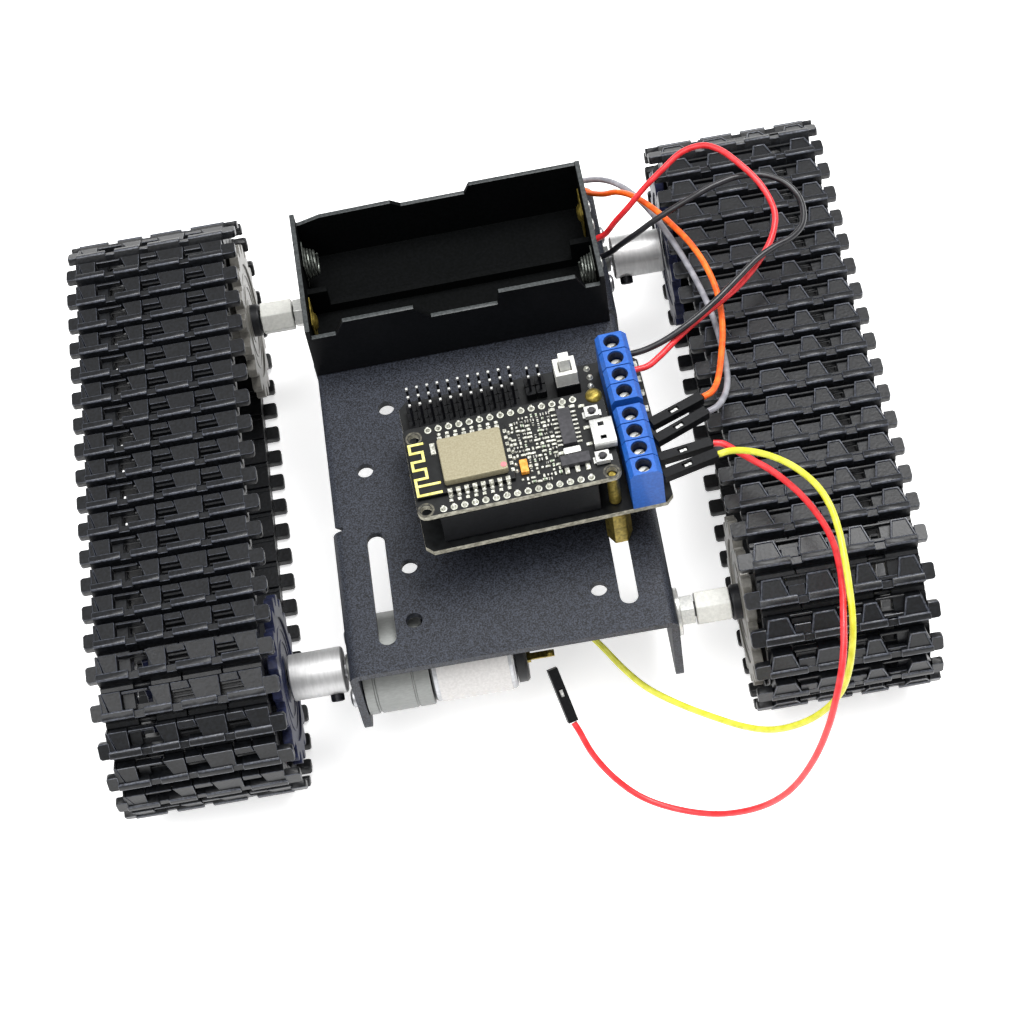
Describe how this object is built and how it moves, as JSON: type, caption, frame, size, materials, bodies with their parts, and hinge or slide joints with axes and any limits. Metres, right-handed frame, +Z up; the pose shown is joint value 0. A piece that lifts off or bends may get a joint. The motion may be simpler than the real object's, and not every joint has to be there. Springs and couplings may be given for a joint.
{
  "type": "tracked robot chassis",
  "caption": "Small tracked robot chassis: bent deck plate, diagonal gearmotors driving looped link tracks, open cell holder, stacked controller boards, screw terminals and jumper wires.",
  "frame": {"origin": "on the ground plane, midway between the axles and between the tracks", "axes": "+X across to the right track, +Y to the rear (battery end), +Z up"},
  "size_m": [0.202, 0.1937, 0.0764],
  "materials": {
    "powder_black": "speckled powder coat",
    "track_rubber": "moulded, slightly worn",
    "wheel_drive": "glossy blue-black",
    "wheel_idler": "satin grey",
    "aluminium": "fine turned",
    "steel": "bright zinc",
    "gearbox": "satin",
    "label_white": "blank paper wrap",
    "black_plastic": "moulded satin",
    "brass": "bright",
    "board": "solder mask",
    "can_metal": "satin nickel",
    "silver": "bright tin",
    "terminal_blue": "moulded satin",
    "white_plastic": "moulded satin",
    "wire_red": "vinyl",
    "wire_orange": "vinyl",
    "wire_yellow": "vinyl",
    "wire_grey": "vinyl",
    "wire_black": "vinyl"
  },
  "bodies": {
    "chassis": {"track_left": "track_rubber", "gearbox_left": "gearbox", "motor_can_left": "label_white", "motor_cap_left": "black_plastic", "idler_axle_left": "steel", "idler_nut_left": "steel", "idler_sleeve_left": "white_plastic", "track_right": "track_rubber", "gearbox_right": "gearbox", "motor_can_right": "label_white", "motor_cap_right": "black_plastic", "idler_axle_right": "steel", "idler_nut_right": "steel", "idler_sleeve_right": "white_plastic", "chassis_plate": "powder_black", "battery_holder": "black_plastic", "cell_spring_rear": "steel", "cell_spring_front": "steel", "cell_contact_rear": "brass", "cell_contact_front": "brass", "motor_shield_board": "board", "controller_board": "board", "socket_strip_front": "black_plastic", "socket_strip_rear": "black_plastic", "pin_header_block": "black_plastic", "terminal_block_rear": "terminal_blue", "terminal_block_front": "terminal_blue", "radio_module": "can_metal", "usb_socket": "silver", "standoff_lower_front": "brass", "standoff_lower_right": "brass", "standoff_lower_left": "brass", "standoff_upper_front": "brass", "standoff_upper_rear": "brass", "power_switch_body": "white_plastic", "reset_button_body": "silver", "flash_button_body": "silver", "wire_battery_red": "wire_red", "wire_battery_black": "wire_black", "wire_motor_orange": "wire_orange", "wire_motor_grey": "wire_grey", "wire_motor_red": "wire_red", "wire_motor_yellow": "wire_yellow", "plug_orange": "black_plastic", "plug_grey": "black_plastic", "plug_red": "black_plastic", "plug_yellow": "black_plastic", "plug_motor": "black_plastic"},
    "drive_left": {"drive_wheel_left": "wheel_drive", "coupling_left": "aluminium", "motor_shaft_left": "steel"},
    "drive_right": {"drive_wheel_right": "wheel_drive", "coupling_right": "aluminium", "motor_shaft_right": "steel"},
    "idler_left": {"idler_wheel_left": "wheel_idler"},
    "idler_right": {"idler_wheel_right": "wheel_idler"},
    "reset_button": {"reset_button_cap": "black_plastic"},
    "flash_button": {"flash_button_cap": "black_plastic"},
    "power_switch": {"power_switch_plunger": "white_plastic"}
  },
  "joints": [
    {"name": "drive_left_spin", "type": "hinge", "parent": "chassis", "child": "drive_left", "pos_m": [0, -0.0567, 0.028], "axis": [1, 0, 0], "continuous": true},
    {"name": "drive_right_spin", "type": "hinge", "parent": "chassis", "child": "drive_right", "pos_m": [0, 0.0567, 0.028], "axis": [1, 0, 0], "continuous": true},
    {"name": "idler_left_spin", "type": "hinge", "parent": "chassis", "child": "idler_left", "pos_m": [0, 0.0567, 0.028], "axis": [1, 0, 0], "continuous": true},
    {"name": "idler_right_spin", "type": "hinge", "parent": "chassis", "child": "idler_right", "pos_m": [0, -0.0567, 0.028], "axis": [1, 0, 0], "continuous": true},
    {"name": "reset_button_press", "type": "slide", "parent": "chassis", "child": "reset_button", "axis": [0, 0, -1], "range_m": [0, 0.00025], "stiffness_N_per_m": 800},
    {"name": "flash_button_press", "type": "slide", "parent": "chassis", "child": "flash_button", "axis": [0, 0, -1], "range_m": [0, 0.00025], "stiffness_N_per_m": 800},
    {"name": "power_switch_press", "type": "slide", "parent": "chassis", "child": "power_switch", "axis": [0, 0, -1], "range_m": [0, 0.0015], "stiffness_N_per_m": 300}
  ],
  "couplings": [
    {"joint": "idler_left_spin", "follows": "drive_left_spin", "ratio": 1},
    {"joint": "idler_right_spin", "follows": "drive_right_spin", "ratio": 1}
  ]
}
